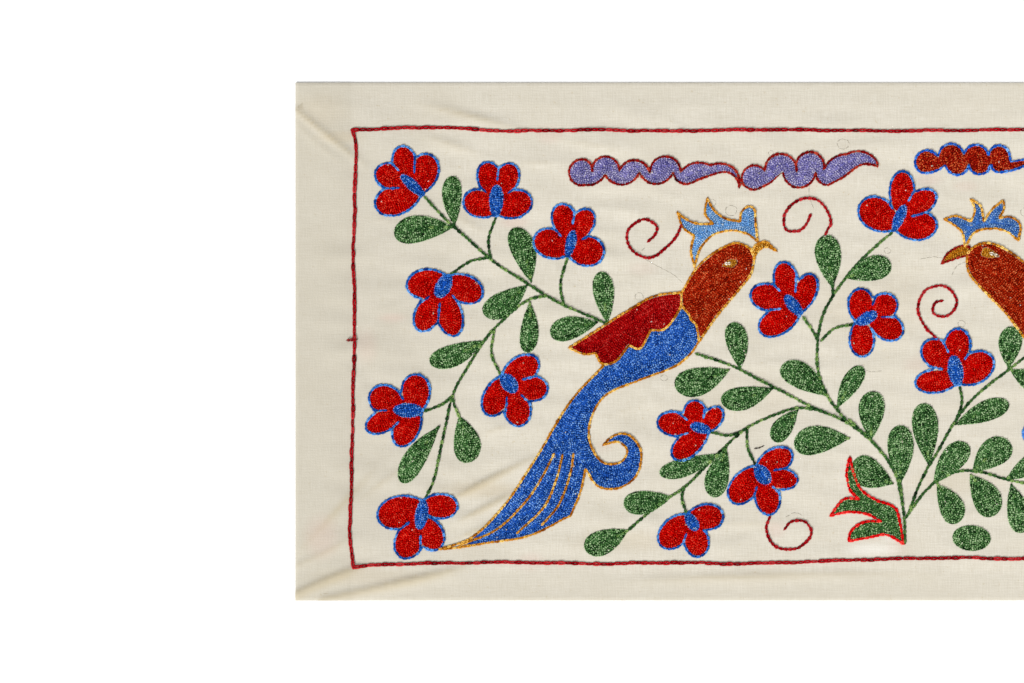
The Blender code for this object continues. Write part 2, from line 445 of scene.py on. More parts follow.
def strand(centre, thick, tall, sides, back=False, ends=0.02):
    """A closed strand of thread about its centre line, thin at both ends.

    ends is the painted shade of its two ends, and each ring is painted lighter on top.
    Returns rows of (along, aside, height, shade, back) and the triangles between them.
    """
    rows, triangles, rings = [], [], []
    centre = np.array(centre, float)
    for index, (along, aside, high) in enumerate(centre):
        if index in (0, len(centre) - 1):
            rings.append([len(rows)])
            rows.append((along, aside, high, ends, back))
            continue
        before, after = centre[index - 1], centre[index + 1]
        run = np.array([after[0] - before[0], (after[1] - before[1]) * 0.5])
        run /= np.linalg.norm(run)
        ring = []
        for side in range(sides):
            turn = math.tau * side / sides + math.pi / 2
            out, up = math.cos(turn), math.sin(turn)
            ring.append(len(rows))
            # Painted light and shade: lighter on top of the ring, darker underneath.
            rows.append((along - run[1] * out * thick * 0.5, aside + run[0] * out * thick,
                         high + up * tall, 0.42 + 0.4 * up, back))
        rings.append(ring)
    for first, second in zip(rings, rings[1:]):
        for side in range(sides):
            step = (side + 1) % sides
            a, b = first[side % len(first)], first[step % len(first)]
            c, d = second[side % len(second)], second[step % len(second)]
            triangles += [t for t in ((a, c, b), (b, c, d)) if len(set(t)) == 3]
    return rows, triangles


def loop_of(*strands):
    """Join the strands of one loop: its vertex rows and its triangles."""
    rows, triangles = [], []
    for which, (more_rows, more_triangles) in enumerate(strands):
        triangles += [[corner + len(rows) for corner in t] for t in more_triangles]
        rows += [(*row, which) for row in more_rows]
    return np.array(rows, float), np.array(triangles, int)


# The shades given for the strands' ends are painted shade where each loop dips under the next.
back_stitch = strand(BACK_STITCH, 0.42, 0.25, 3, back=True)
border_loop = loop_of(strand(OPEN_LOOP, 0.48, 0.44, 4, ends=-0.15), back_stitch)
line_loop = loop_of(strand(LINE_LOOP, 0.54, 0.46, 4, ends=-0.3), back_stitch)
fill_loop = loop_of(*(strand(side, 0.62, 0.5, 3, ends=0.26) for side in CLOSED_SIDES),
                    back_stitch)


# How far the hand strays from stitch to stitch, as shares of the stitch's length, size and
# width, and how the row wanders and the dye drifts along it, with the length of each swing.
LENGTH_STRAYS, SIZE_STRAYS, ASIDE_STRAYS = 0.05, 0.09, 0.05
WANDER, WANDER_LONG = 0.28, 9
DRIFT, DRIFT_LONG = 0.06, 37


def chain(rows, loop, pitch, width, relief, shade=0.0, contrast=1.0, uneven=0.2):
    """Chain stitch along each row of points. Gives vertices, triangles and their shades."""
    template, triangles = loop
    strands = template[:, 5].astype(int)
    all_places, all_triangles, all_shades, count = [], [], [], 0
    for points, closed in rows:
        points = np.asarray(points, float)
        if closed:
            points = np.vstack([points, points[:1]])
        runs = np.hypot(*np.diff(points, axis=0).T)
        reach = np.concatenate([[0.0], np.cumsum(runs)])
        total = reach[-1]
        stitches = max(int(round(total / pitch)), 1)
        if total < 1.2:
            continue
        step = total / stitches
        first = hand.uniform(0, step) if closed else 0.0
        starts = first + np.arange(stitches) * step + hand.normal(0, LENGTH_STRAYS * pitch, stitches)
        spans = step * hand.normal(1.0, LENGTH_STRAYS, stitches)
        sizes = np.clip(hand.normal(1.0, SIZE_STRAYS, stitches), 0.75, 1.25)
        aside = hand.normal(0, ASIDE_STRAYS * width, stitches)
        if loop is not fill_loop:
            swing = np.arange(stitches) * pitch / WANDER_LONG
            aside += WANDER * np.sin(swing + hand.uniform(0, math.tau))
        own = hand.normal(0, uneven, (stitches, strands.max() + 1))[:, strands]
        swing = np.arange(stitches) * pitch / DRIFT_LONG
        drift = DRIFT * np.sin(swing + hand.uniform(0, math.tau))
        along = starts[:, None] + spans[:, None] * template[None, :, 0]
        along = along % total if closed else np.clip(along, -0.3 * step, total + 0.3 * step)
        tangent = np.gradient(points, reach, axis=0) if len(points) > 2 else \
            np.repeat([(points[1] - points[0]) / total], 2, axis=0)
        if closed:
            tangent[0] = tangent[-1] = tangent[0] + tangent[-1]
        cx, cy, tx, ty = (np.interp(along, reach, v) for v in (*points.T, *tangent.T))
        if not closed:
            over = along - np.clip(along, 0, total)
            cx, cy = cx + tx * over, cy + ty * over
        long = np.maximum(np.hypot(tx, ty), 1e-6)
        out = width / 2 * sizes[:, None] * template[None, :, 1] + aside[:, None]
        x, y = cx - ty / long * out, cy + tx / long * out
        high = relief * template[None, :, 2] * sizes[:, None]
        z = lie(x, y) + np.where(template[None, :, 4] > 0, high - COTTON_THICK, high)
        # The template's painted light and shade, then the dye's own unevenness and drift.
        tone = 0.5 + shade + contrast * (template[None, :, 3] - 0.5) + own + drift[:, None]
        all_places.append(np.stack([x, y, z], 2).reshape(-1, 3))
        all_shades.append(tone.ravel())
        firsts = count + np.arange(stitches) * len(template)
        all_triangles.append((firsts[:, None, None] + triangles[None]).reshape(-1, 3))
        count += stitches * len(template)
    return np.vstack(all_places), np.vstack(all_triangles), np.concatenate(all_shades)


def dyed_floss(name, dark, middle, light, glint):
    """Loosely twisted, hand-dyed thread, with painted shade in its folds and painted light and glint
    where it arches up.
    """
    material = bpy.data.materials.new(name)
    material.use_nodes = True
    tree = material.node_tree
    shader = tree.nodes["Principled BSDF"]
    place = add_node(tree, "ShaderNodeTexCoord").outputs["Object"]
    stored = add_node(tree, "ShaderNodeAttribute", attribute_name="shade").outputs["Fac"]
    # The dye takes unevenly, in patches of 6 to 15 mm, and specks of painted highlight
    # and shade stand for fibres that catch the light.
    uneven = add_node(tree, "ShaderNodeMath", operation="ADD")
    for index, (scale, least, most) in enumerate(((110.0, -0.09, 0.09), (1100.0, -0.26, 0.26))):
        patchy = add_node(tree, "ShaderNodeTexNoise", [("Vector", place)], Scale=scale, Detail=2.0)
        share = add_node(tree, "ShaderNodeMapRange", [("Value", patchy.outputs["Fac"])],
                         From_Min=0.3, From_Max=0.7, To_Min=least, To_Max=most)
        tree.links.new(share.outputs[0], uneven.inputs[index])
    shade = add_node(tree, "ShaderNodeMath", operation="ADD")
    tree.links.new(stored, shade.inputs[0])
    tree.links.new(uneven.outputs[0], shade.inputs[1])
    # The ramp runs from painted shade and deep dye, through the dye's colour, to painted light and a
    # painted glint.
    ramp = add_node(tree, "ShaderNodeValToRGB", [("Fac", shade.outputs[0])])
    stops = ramp.color_ramp.elements
    stops[0].color = srgb(dark)
    stops[1].color = srgb(glint)
    stops.new(0.42).color = srgb(middle)
    stops.new(0.80).color = srgb(light)
    tree.links.new(ramp.outputs["Color"], shader.inputs["Base Color"])
    # The plies are 0.3 mm thick, drawn 0.9 mm apart so that they break up the shine.
    plies = add_node(tree, "ShaderNodeTexWave", [("Vector", place)], bands_direction="DIAGONAL",
                     Scale=math.tau / 20 / (0.9 * MM), Distortion=4.0, Detail=1.0)
    bump = add_node(tree, "ShaderNodeBump", [("Height", plies.outputs["Fac"])],
                    Strength=0.35, Distance=0.0002)
    tree.links.new(bump.outputs["Normal"], shader.inputs["Normal"])
    shader.inputs["Roughness"].default_value = 0.5
    shader.inputs["Specular IOR Level"].default_value = 0.25
    shader.inputs["Specular Tint"].default_value = srgb(light)
    shader.inputs["Sheen Weight"].default_value = 0.06
    shader.inputs["Sheen Tint"].default_value = srgb(light)
    return material


def sew(name, material, *parts):
    """Make one piece of embroidery from its worked parts, and fix it to the cloth."""
    places, triangles, shades, count = [], [], [], 0
    for more_places, more_triangles, more_shades in parts:
        places.append(more_places)
        triangles.append(more_triangles + count)
        shades.append(more_shades)
        count += len(more_places)
    places, triangles = np.vstack(places) * MM, np.vstack(triangles)
    mesh = bpy.data.meshes.new(name)
    mesh.vertices.add(len(places))
    mesh.vertices.foreach_set("co", places.astype(np.float32).ravel())
    mesh.loops.add(triangles.size)
    mesh.loops.foreach_set("vertex_index", triangles.astype(np.int32).ravel())
    mesh.polygons.add(len(triangles))
    mesh.polygons.foreach_set("loop_start", np.arange(0, triangles.size, 3, dtype=np.int32))
    mesh.update(calc_edges=True)
    set_attribute(mesh, "shade", np.concatenate(shades))
    lay_out_flat(mesh)
    mesh.shade_smooth()
    mesh.materials.append(material)
    piece = bpy.data.objects.new(name, mesh)
    bpy.context.collection.objects.link(piece)
    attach(piece, "root")
    return piece


def smooth_line(points, closed=False, step=2.0):
    """A smooth line through a few points, as points about a step apart."""
    points = np.array(points, float)
    if closed:
        points = np.vstack([points[-1], points, points[:2]])
    else:
        points = np.vstack([2 * points[0] - points[1], points, 2 * points[-1] - points[-2]])
    line = []
    for p0, p1, p2, p3 in zip(points, points[1:], points[2:], points[3:]):
        for t in np.arange(0, 1, 1 / max(int(np.hypot(*(p2 - p1)) / step), 1)):
            line.append(0.5 * (2 * p1 + (p2 - p0) * t + (2 * p0 - 5 * p1 + 4 * p2 - p3) * t ** 2
                               + (3 * p1 - p0 - 3 * p2 + p3) * t ** 3))
    if not closed:
        line.append(points[-2])
    return np.array(line)


BORDER_PITCH, LINE_PITCH, FILL_PITCH = 6.0, 4.0, 2.0
BORDER_WIDE, LINE_WIDE, FILL_WIDE = 2.9, 2.15, 1.95
BORDER_RELIEF, LINE_RELIEF, FILL_RELIEF = 1.1, 1.0, 0.9

# The line wanders a little, as it was drawn by hand before it was sewn.
BORDER_SIDES = [
    [(-452, 180), (-449, 165), (-450, 120), (-451, 70), (-450, 20), (-451, -30), (-452, -80),
     (-453, -125), (-454, -165), (-453, -178), (-451, -192)],
    [(-451, -192), (-430, -190), (-400, -189), (-350, -188), (-300, -188), (-240, -189),
     (-180, -188), (-120, -189), (-60, -187), (0, -185), (60, -184), (120, -185), (200, -187),
     (290, -186), (380, -189), (452, -190)],
    [(452, -190), (450, -140), (452, -80), (451, 0), (453, 80), (451, 140), (452, 181)],
    [(452, 181), (380, 182), (300, 180), (200, 181), (100, 180), (0, 179), (-100, 180),
     (-180, 179), (-250, 180), (-320, 179), (-380, 182), (-420, 181), (-452, 180)],
]
border_rows = [(smooth_line(side), False) for side in BORDER_SIDES]
crimson = dyed_floss("madder_crimson_floss", "#3a0105", "#8a030f", "#a80916", "#bc3236")
sew("border_line", crimson,
    chain(border_rows, border_loop, BORDER_PITCH, BORDER_WIDE, BORDER_RELIEF))

# ---------------------------------------------------------------------------
# The stems
# Single rows of green chain stitch, two side by side where a branch is stout. They are
# sewn before the leaves and flowers, which cover their ends.
# ---------------------------------------------------------------------------
LEFT_STEMS = [
    [(-235, 15), (-268, 29), (-300, 47), (-334, 70), (-366, 98), (-391, 123)],
    [(-334, 70), (-336, 88), (-330, 106)],
    [(-334, 71), (-352, 68), (-369, 57)],
    [(-272, 31), (-275, 50), (-269, 72)],
    [(-286, 39), (-305, 34), (-324, 18), (-340, 0), (-356, -25), (-367, -47), (-373, -72),
     (-378, -98), (-383, -118), (-390, -133)],
    [(-331, 10), (-334, -10), (-326, -28)],
    [(-367, -47), (-377, -54), (-391, -59)],
    [(-367, -48), (-361, -64)],
]
MIDDLE_STEMS = [
    [(18, -172), (16, -140), (12, -116), (-8, -87), (-32, -69), (-60, -56), (-92, -40),
     (-122, -24), (-160, -10)],
    [(16, -140), (10, -113), (-10, -85), (-30, -66)],
    [(-30, -70), (-46, -50), (-55, -28), (-57, -4), (-51, 24), (-33, 54), (-10, 78), (7, 93)],
    [(-56, 0), (-62, 11), (-69, 21)],
    [(-54, 0), (-42, 11), (-26, 15)],
    [(-44, 40), (-44, 50)],
    [(-52, -59), (-75, -57), (-100, -65), (-118, -75), (-140, -94), (-166, -121), (-188, -136),
     (-217, -160)],
    [(-117, -74), (-132, -80), (-148, -77)],
    [(-117, -75), (-116, -90), (-109, -105)],
    [(-170, -124), (-172, -134), (-168, -146)],
    [(19, -150), (30, -122), (45, -94), (62, -66), (80, -44), (104, -26), (122, -11)],
    [(62, -66), (66, -52), (64, -38)],
    [(20, -148), (38, -124), (62, -111), (84, -111), (106, -118), (140, -124), (190, -134),
     (232, -156)],
    [(144, -124), (164, -100), (162, -74)],
    [(176, -131), (176, -140), (169, -148)],
]
LEFT_TO_RIGHT = [[(-x, y) for x, y in stem] for stem in LEFT_STEMS]
stem_rows = [(smooth_line(stem), False) for stem in LEFT_STEMS + MIDDLE_STEMS + LEFT_TO_RIGHT]
stem_green = dyed_floss("stem_green_floss", "#08140a", "#29502a", "#457034", "#84a05c")
sew("stems", stem_green,
    chain(stem_rows, line_loop, LINE_PITCH, LINE_WIDE * 1.15, LINE_RELIEF, uneven=0.25))

# ---------------------------------------------------------------------------
# The leaves
# Each leaf is outlined and then filled from its edge inwards with close rows of chain
# stitch in mixed greens, so the rows run round it one inside the other.
# ---------------------------------------------------------------------------
ROW_GAP = 1.7
FIRST_ROW = 0.95
GRID_STEP = 1.0
CORE_GAP = 1.1
BED_UNDER, BED_OVER = -0.1, 0.16
BED_POINTS, BED_REACH = 4.0, 1.3
# BED_SHADE is painted shade: the sheet under each filled area is dark so the gaps between rows read
# as shade.
BED_EDGE, BED_INNER, BED_SHADE = 0.15, 2.5, 0.24


def turned(points, direction, x, y):
    """Points turned by a direction in degrees and moved to (x, y)."""
    c, s = math.cos(math.radians(direction)), math.sin(math.radians(direction))
    points = np.asarray(points, float)
    return np.stack([points[:, 0] * c - points[:, 1] * s + x,
                     points[:, 0] * s + points[:, 1] * c + y], 1)


def drop_shape(x, y, direction, length, width, widest, bend=0.0):
    """A drop from a point at (x, y), round at its far end. widest is where it is widest."""
    t = 0.5 - 0.5 * np.cos(np.linspace(0, math.pi, 18))
    taper = 0.5 * widest / (1 - widest)
    half = width / 2 * (t / widest) ** taper * ((1 - t) / (1 - widest)) ** 0.5
    middle = bend * np.sin(math.pi * t)
    upper = np.stack([t * length, middle + half], 1)
    lower = np.stack([t * length, middle - half], 1)[::-1][1:-1]
    return turned(np.vstack([upper, lower]), direction, x, y)


def depth_inside(x, y, outline):
    """How deep each point lies inside an outline, less than 0 outside it."""
    gap = np.full(x.shape, 1e9)
    inside = np.zeros(x.shape, bool)
    for (x0, y0), (x1, y1) in zip(outline, np.roll(outline, -1, axis=0)):
        dx, dy = x1 - x0, y1 - y0
        share = np.clip(((x - x0) * dx + (y - y0) * dy) / max(dx * dx + dy * dy, 1e-9), 0, 1)
        gap = np.minimum(gap, (x - x0 - share * dx) ** 2 + (y - y0 - share * dy) ** 2)
        if y0 != y1:
            inside ^= ((y0 > y) != (y1 > y)) & (x < x0 + (y - y0) * dx / dy)
    return np.where(inside, 1, -1) * np.sqrt(gap)


def distance_to(x, y, line):
    """How far each point is from an open line."""
    gap = np.full(x.shape, 1e9)
    for (x0, y0), (x1, y1) in zip(line, line[1:]):
        dx, dy = x1 - x0, y1 - y0
        share = np.clip(((x - x0) * dx + (y - y0) * dy) / max(dx * dx + dy * dy, 1e-9), 0, 1)
        gap = np.minimum(gap, np.hypot(x - x0 - share * dx, y - y0 - share * dy))
    return gap


def grid_over(outlines, margin=4.0):
    """Grid of points that covers some outlines."""
    joined = np.vstack(outlines)
    low, high = joined.min(0) - margin, joined.max(0) + margin
    return np.meshgrid(np.arange(low[0], high[0], GRID_STEP), np.arange(low[1], high[1], GRID_STEP))


def nearest_on(x, y, points):
    """The rows and columns of the grid points nearest to some points."""
    i = np.rint((points[:, 0] - x[0, 0]) / GRID_STEP).astype(int)
    j = np.rint((points[:, 1] - y[0, 0]) / GRID_STEP).astype(int)
    return np.clip(j, 0, x.shape[0] - 1), np.clip(i, 0, x.shape[1] - 1)


# Which sides of a grid square a line crosses, by which of its corners lie inside.
CROSSINGS = {1: [(3, 0)], 2: [(0, 1)], 3: [(3, 1)], 4: [(1, 2)], 5: [(3, 2), (1, 0)],
             6: [(0, 2)], 7: [(3, 2)], 8: [(2, 3)], 9: [(2, 0)], 10: [(0, 3), (2, 1)],
             11: [(2, 1)], 12: [(1, 3)], 13: [(1, 0)], 14: [(0, 3)]}


def level_loops(x, y, depth, level):
    """The closed lines on which a grid of depths passes a level."""
    inside = depth > level
    corner = inside.astype(int)
    case = corner[:-1, :-1] + 2 * corner[:-1, 1:] + 4 * corner[1:, 1:] + 8 * corner[1:, :-1]
    across, up = depth.shape[1], depth.size
    follows = {}
    for j, i in zip(*np.nonzero((case > 0) & (case < 15))):
        sides = (j * across + i, up + j * across + i + 1, (j + 1) * across + i, up + j * across + i)
        for first, last in CROSSINGS[int(case[j, i])]:
            follows[sides[first]] = sides[last]
    loops = []
    while follows:
        start, here = follows.popitem()
        loop = [start]
        while here != start and here in follows:
            loop.append(here)
            here = follows.pop(here)
        side = np.array(loop)
        rising = side >= up
        j, i = np.divmod(side % up, across)
        j2, i2 = j + rising, i + ~rising
        share = (level - depth[j, i]) / (depth[j2, i2] - depth[j, i])
        line = np.stack([x[j, i] + share * (x[j2, i2] - x[j, i]),
                         y[j, i] + share * (y[j2, i2] - y[j, i])], 1)
        if len(line) > 5:
            line = (np.roll(line, 1, 0) + 2 * line + np.roll(line, -1, 0)) / 4
            loops.append(line)
    return loops


def length_of(line):
    """Length of a closed line."""
    return np.hypot(*(line - np.roll(line, -1, 0)).T).sum()


def one_side(loop):
    """The part of a thin loop from one far end to the other."""
    far = np.argmax(np.hypot(*(loop - loop.mean(0)).T))
    loop = np.roll(loop, -far, axis=0)
    other = np.argmax(np.hypot(*(loop - loop[0]).T))
    return loop[:other + 1]


def rows_inside(x, y, depth):
    """Rows that fill an area from its edge inwards, with a short row along a thin core."""
    rows, level = [], FIRST_ROW
    while True:
        loops = level_loops(x, y, depth, level)
        if not loops:
            return rows
        rows += [(loop, True) for loop in loops if length_of(loop) > 3 * FILL_PITCH]
        deeper = depth > level + ROW_GAP
        for shift in ((1, 0), (-1, 0), (0, 1), (0, -1)) * 2:
            deeper = deeper | np.roll(deeper, shift, (0, 1))
        for loop in level_loops(x, y, np.where(deeper, 0, depth), level + CORE_GAP):
            side = one_side(loop)
            if len(side) > 2 and np.hypot(*np.diff(side, axis=0).T).sum() > FILL_PITCH:
                rows.append((side, False))
        level += ROW_GAP


def shade_bed(x, y, depth):
    """Flat sheet of painted shade under an area's rows, standing for thread and drawn-up cotton."""
    corners, edges = [], []
    for loop in level_loops(x, y, depth, BED_EDGE):
        loop = loop[::3]
        if len(loop) < 3:
            continue
        first, many = len(corners), len(loop)
        corners += [Vector(p) for p in loop]
        edges += [(first + i, first + (i + 1) % many) for i in range(many)]
    apart = int(BED_POINTS / GRID_STEP)
    inner = depth[::apart, ::apart] > BED_INNER
    corners += [Vector(p) for p in zip(x[::apart, ::apart][inner], y[::apart, ::apart][inner])]
    points, _, faces, *_ = delaunay_2d_cdt(corners, edges, [], 1, 1e-4)
    points = np.array(points)
    faces = np.array([f for f in faces if len(f) == 3], int)
    faces = faces[depth[nearest_on(x, y, points[faces].mean(1))] > 0]
    # It lies on the highest cotton close by, so that no pucker comes through it.
    face = np.max([lie(points[:, 0] + right, points[:, 1] + on) for right, on in
                   ((0, 0), (BED_REACH, 0), (-BED_REACH, 0), (0, BED_REACH), (0, -BED_REACH))], 0)
    over = np.column_stack([points, face + BED_OVER])
    under = np.column_stack([points, face + BED_UNDER])
    sides = np.vstack([faces[:, [0, 1]], faces[:, [1, 2]], faces[:, [2, 0]]])
    key = np.sort(sides, 1)
    _, place, times = np.unique(key, axis=0, return_index=True, return_counts=True)
    a, b = sides[place[times == 1]].T
    many = len(points)
    rim = np.vstack([np.stack([b, a, a + many], 1), np.stack([b, a + many, b + many], 1)])
    used = np.vstack([faces, faces[:, ::-1] + many, rim])
    keep, used = np.unique(used, return_inverse=True)
    return np.vstack([over, under])[keep], used.reshape(-1, 3), np.full(len(keep), BED_SHADE)


FILL_LIGHTER = 0.05
WORN_SHARE = 0.0022
worn_rows = []


def fill(x, y, depth, contrast=1.0, uneven=0.2):
    """The rows that fill one area, and the sheet of painted shade under them."""
    rows = rows_inside(x, y, depth)
    if not rows:
        return []
    for points, _ in rows:
        # Here and there a stitch has worn through to its undyed heart.
        for place in np.nonzero(hand.random(len(points) - 2) < WORN_SHARE)[0]:
            worn_rows.append((points[place:place + 3], False))
    return [chain(rows, fill_loop, FILL_PITCH, FILL_WIDE, FILL_RELIEF, FILL_LIGHTER, contrast,
                  uneven), shade_bed(x, y, depth)]


# Where each leaf springs, the way it points in degrees, its length, width and bend.
LEFT_LEAVES = [
    (-365, 98, 93, 43, 16, 1), (-366, 97, 186, 51, 22, -2), (-300, 50, 107, 49, 20, -2),
    (-303, 48, 214, 45, 20, 2), (-301, 34, 267, 44, 15, 1), (-235, 15, 97, 45, 17, 0),
    (-243, 16, 193, 42, 19, -1), (-339, 1, 202, 51, 18, 2), (-361, -63, 281, 41, 22, 2),
    (-378, -72, 236, 58, 18, -2),
]
MIDDLE_LEAVES = [
    (-122, -24, 99, 41, 18, -1), (-131, -24, 197, 49, 23, 2), (-94, -40, 194, 46, 19, 2),
    (-49, -46, 146, 46, 21, -2), (-40, -57, 59, 42, 15, 1), (-11, -84, 87, 42, 21, 1),
    (14, -121, 90, 50, 21, 0), (38, -105, 95, 53, 21, 0), (60, -71, 22, 50, 17, 1),
    (8, -121, 152, 39, 24, 2), (-29, -82, 187, 48, 23, -2), (-73, -58, 232, 34, 16, -1),
    (-44, 46, 97, 45, 21, 0), (-33, 54, 17, 41, 20, 1), (-140, -95, 199, 54, 15, 2),
    (-134, -90, 255, 44, 19, -1), (-180, -132, 189, 42, 19, 1), (-217, -160, 204, 41, 20, 1),
    (42, -121, 50, 45, 20, 1), (75, -111, 38, 41, 23, 2), (45, -121, 298, 38, 20, 2),
    (73, -113, 301, 41, 23, 2), (108, -121, 283, 43, 19, 1), (104, -117, 27, 42, 18, 1),
    (106, -23, 84, 36, 19, 1), (107, -24, 330, 40, 19, 1), (150, -126, 40, 40, 18, 1),
    (186, -133, 22, 42, 19, -1), (192, -135, 300, 38, 18, 1), (232, -156, 338, 42, 19, 1),
    (178, 12, 83, 42, 17, 0),
]
LONE_LEAF = (58, -166, -4, 33, 22)
LEAF_WIDEST, LEAF_FULL = 0.66, 1.07


def turned_over(leaf):
    """The leaf of the other end of the panel."""
    x, y, direction, length, width, bend = leaf
    return (-x, y, 180 - direction, length, width, -bend)


leaves = LEFT_LEAVES + MIDDLE_LEAVES + [turned_over(leaf) for leaf in LEFT_LEAVES]
leaf_shapes = [drop_shape(x, y, direction, length, LEAF_FULL * width, LEAF_WIDEST, bend)
               for x, y, direction, length, width, bend in leaves]
leaf_shapes.append(drop_shape(*LONE_LEAF, 0.5))
stalks = [(turned([(0, 0), (length * 0.2, bend * 0.6), (length * 0.4, bend)], direction, x, y),
           False) for x, y, direction, length, width, bend in leaves]
sew("leaf_stalks", stem_green,
    chain(stalks, line_loop, LINE_PITCH, LINE_WIDE * 1.05, LINE_RELIEF * 0.85, uneven=0.25))
leaf_green = dyed_floss("mixed_green_floss", "#0c1c0e", "#40703a", "#6fa05c", "#b2ce9c")
leaf_parts = {"left": [], "middle": [], "right": []}
for shape in leaf_shapes:
    gx, gy = grid_over([shape])
    middle_x = shape[:, 0].mean()
    side = "left" if middle_x < -180 else "middle" if middle_x < 140 else "right"
    leaf_parts[side] += fill(gx, gy, depth_inside(gx, gy, shape), contrast=1.25, uneven=0.36)
for side, parts in leaf_parts.items():
    sew(f"leaves_{side}", leaf_green, *parts)

# ---------------------------------------------------------------------------
# The flowers
# Four petals fan out from the stalk, filled in red and outlined in two blues twisted
# together. A long blue heart lies over the place where they meet.
# ---------------------------------------------------------------------------
OUTLINE_IN = 0.7
OUTLINE_TAKES = 1.5
PETALS_JOIN = 0.3
PETAL_WIDEST, PETAL_FULL, HEART_WIDEST = 0.56, 1.12, 0.5
# How far up the heart the outer and the inner petals spring, as shares of its length.
OUTER_ROOT, INNER_ROOT = 0.22, 0.62
CUT_SHORT = 3.2

# The stalk's end, the heart, and each petal's tip as seen from the stalk's end, each as
# (direction, length, width).
LEFT_FLOWERS = [
    (-391, 124, (138, 27, 10), (83, 36, 23), (115, 47, 20), (153, 47, 21), (194, 43, 24)),
    (-330, 106, (88, 28, 13), (26, 35, 22), (71, 48, 20), (102, 48, 20), (150, 32, 22)),
    (-269, 72, (77, 24, 10), (8, 32, 24), (63, 45, 19), (99, 46, 20), (149, 34, 23)),
    (-369, 57, (241, 23, 14), (324, 34, 22), (275, 53, 21), (241, 55, 21), (197, 39, 23)),
    (-325, -28, (310, 20, 14), (22, 34, 21), (-18, 42, 21), (-69, 48, 22), (-109, 37, 21)),
    (-391, -59, (178, 27, 13), (104, 33, 23), (161, 49, 24), (198, 52, 18), (232, 38, 20)),
    (-391, -134, (261, 27, 12), (348, 30, 20), (287, 45, 21), (248, 54, 23), (202, 43, 26)),
]
MIDDLE_FLOWERS = [
    (-147, -76, (165, 19, 10), (70, 22, 15), (120, 31, 19), (170, 47, 20), (215, 40, 19)),
    (-168, -146, (302, 18, 11), (355, 32, 21), (287, 39, 20), (233, 36, 22)),
    (-109, -105, (305, 20, 14), (20, 33, 20), (-20, 39, 17), (-74, 45, 20), (-124, 38, 22)),
    (-70, 22, (129, 23, 11), (76, 37, 18), (110, 49, 20), (156, 48, 22), (200, 39, 21)),
    (-24, 15, (27, 21, 11), (82, 31, 20), (33, 41, 21), (-14, 41, 21), (-78, 29, 20)),
    (8, 94, (66, 25, 10), (6, 38, 23), (42, 49, 19), (81, 52, 20), (141, 37, 26)),
    (63, -38, (99, 27, 14), (40, 39, 24), (89, 50, 21), (130, 47, 23), (176, 37, 19)),
    (162, -73, (180, 20, 12), (112, 30, 20), (152, 40, 20), (190, 45, 21), (236, 36, 20)),
    (168, -148, (238, 17, 11), (187, 31, 21), (253, 38, 20), (305, 36, 22)),
]


def flower_turned_over(flower):
    """The flower of the other end of the panel."""
    x, y, *drops = flower
    return (-x, y, *((180 - d, length, width) for d, length, width in drops))


petal_red = dyed_floss("bright_red_floss", "#640000", "#c80301", "#e00e07", "#f0523a")
two_blues = dyed_floss("two_blue_floss", "#08307c", "#1452a6", "#2f78cc", "#66a2e2")
heart_blue = dyed_floss("heart_blue_floss", "#06195a", "#1858be", "#3e84da", "#94bcec")
petal_parts = {"left": [], "middle": [], "right": []}
edge_parts, heart_parts = [], []


def ahead(x, y, direction, length):
    """The point so far from (x, y) in a direction."""
    return np.array([x, y]) + length * np.array([math.cos(math.radians(direction)),
                                                 math.sin(math.radians(direction))])


for x, y, heart, *petals in (LEFT_FLOWERS + MIDDLE_FLOWERS
                             + [flower_turned_over(f) for f in LEFT_FLOWERS]):
    heart_shape = drop_shape(x, y, *heart, HEART_WIDEST)
    petal_shapes, roots, bellies = [], [], []
    for which, (way, length, width) in enumerate(petals):
        outer = which in (0, len(petals) - 1)
        root = ahead(x, y, heart[0], heart[1] * (OUTER_ROOT if outer else INNER_ROOT))
        across, up = ahead(x, y, way, length) - root
        way = math.degrees(math.atan2(up, across))
        root = ahead(*root, way, -3.0)
        length = math.hypot(across, up) + 3.0
        petal_shapes.append(drop_shape(*root, way, length, PETAL_FULL * width, PETAL_WIDEST))
        roots.append(root)
        bellies.append(ahead(*root, way, 0.62 * length))
    gx, gy = grid_over([heart_shape, *petal_shapes])
    heart_depth = depth_inside(gx, gy, heart_shape)
    depths = [depth_inside(gx, gy, shape) for shape in petal_shapes] + [heart_depth]
    whole = PETALS_JOIN * np.logaddexp.reduce(np.array(depths) / PETALS_JOIN)
    rows = [(loop, True) for loop in level_loops(gx, gy, whole, OUTLINE_IN)]
    # The outline turns in between two petals, nearly down to the heart.
    cut = np.full(gx.shape, 1e9)
    for first in range(len(petals) - 1):
        low = (roots[first] + roots[first + 1]) / 2
        high = (bellies[first] + bellies[first + 1]) / 2
        line = low + (high - low) * np.linspace(0, 2, 40)[:, None]
        at = nearest_on(gx, gy, line)
        line = line[(heart_depth[at] < -CUT_SHORT) & (whole[at] > OUTLINE_IN - 0.4)]
        if len(line) > 3:
            rows.append((line, False))
            cut = np.minimum(cut, distance_to(gx, gy, line))
    side = "left" if x < -200 else "middle" if x < 140 else "right"
    red = np.min([whole - OUTLINE_TAKES, 0.7 - heart_depth, cut - 0.6], 0)
    petal_parts[side] += fill(gx, gy, red)
    heart_parts += fill(gx, gy, np.minimum(heart_depth, whole - 0.6), uneven=0.25)
    edge_parts.append(chain(rows, line_loop, LINE_PITCH, LINE_WIDE, LINE_RELIEF, uneven=0.3))
for side, parts in petal_parts.items():
    sew(f"petals_{side}", petal_red, *parts)
sew("petal_outlines", two_blues, *edge_parts)
sew("flower_hearts", heart_blue, *heart_parts)

